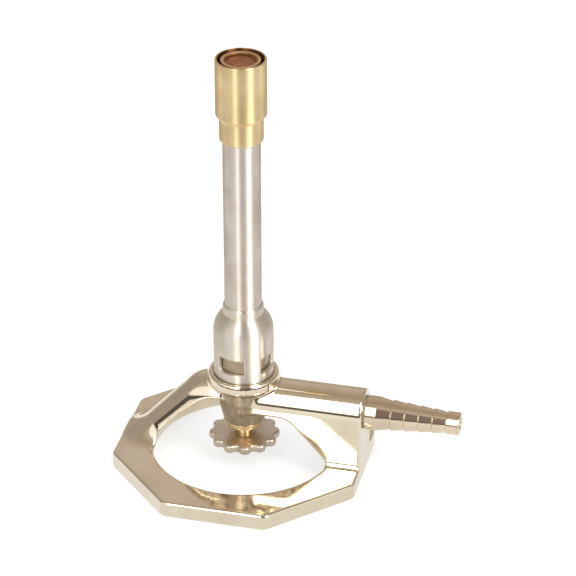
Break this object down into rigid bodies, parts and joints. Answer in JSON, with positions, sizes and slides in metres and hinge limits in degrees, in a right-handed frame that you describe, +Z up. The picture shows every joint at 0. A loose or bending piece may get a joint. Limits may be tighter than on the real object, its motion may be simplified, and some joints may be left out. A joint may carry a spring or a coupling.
{
  "type": "bunsen burner",
  "caption": "Laboratory gas burner with a cast octagonal foot, a screw-adjusted air collar, a brass flame tip, a needle valve with a lobed knob and a serrated hose nipple.",
  "frame": {"origin": "centre of the octagonal foot's underside, on the burner axis", "axes": "+Z up the burner tube, +X along the gas arm towards the hose nipple, +Y across the gas arm"},
  "size_m": [0.1194, 0.0862, 0.1532],
  "materials": {
    "plated_casting": "polished nickel plate on a zinc casting",
    "aluminium": "fine turned satin",
    "brass": "turned and polished",
    "knob_metal": "plated, lightly worn",
    "steel": "bright",
    "rubber": "matt",
    "fibre": "pressed fibre"
  },
  "bodies": {
    "base": {"base_casting": "plated_casting", "hose_nipple": "plated_casting", "nipple_gasket": "fibre", "gas_orifice": "brass", "orifice_gasket": "fibre", "valve_bonnet": "brass", "bonnet_gasket": "fibre", "gland_nut": "brass"},
    "collar_spring": {"friction_ring": "steel"},
    "barrel": {"air_collar": "aluminium", "burner_tube": "aluminium", "tip_sleeve": "brass", "tip_core": "brass", "flame_screen": "brass", "screen_ring": "brass"},
    "stem_seal": {"stem_oring": "rubber"},
    "valve": {"needle_stem": "brass", "gas_knob": "knob_metal", "knob_washer": "steel", "knob_screw": "steel"}
  },
  "joints": [
    {"name": "barrel_lift", "type": "slide", "parent": "base", "child": "collar_spring", "axis": [0, 0, 1], "range_m": [0, 0.0055]},
    {"name": "barrel_turn", "type": "hinge", "parent": "collar_spring", "child": "barrel", "pos_m": [0, 0, 0.0367], "axis": [0, 0, 1], "range_deg": [0, 1321]},
    {"name": "valve_travel", "type": "slide", "parent": "base", "child": "stem_seal", "axis": [0, 0, 1], "range_m": [-0.0024, 0]},
    {"name": "valve_turn", "type": "hinge", "parent": "stem_seal", "child": "valve", "pos_m": [0, 0, 0.0176], "axis": [0, 0, 1], "range_deg": [-1081, 0]}
  ],
  "couplings": [
    {"joint": "barrel_turn", "follows": "barrel_lift", "rad_per_m": 4188.8},
    {"joint": "valve_turn", "follows": "valve_travel", "rad_per_m": 7854}
  ]
}
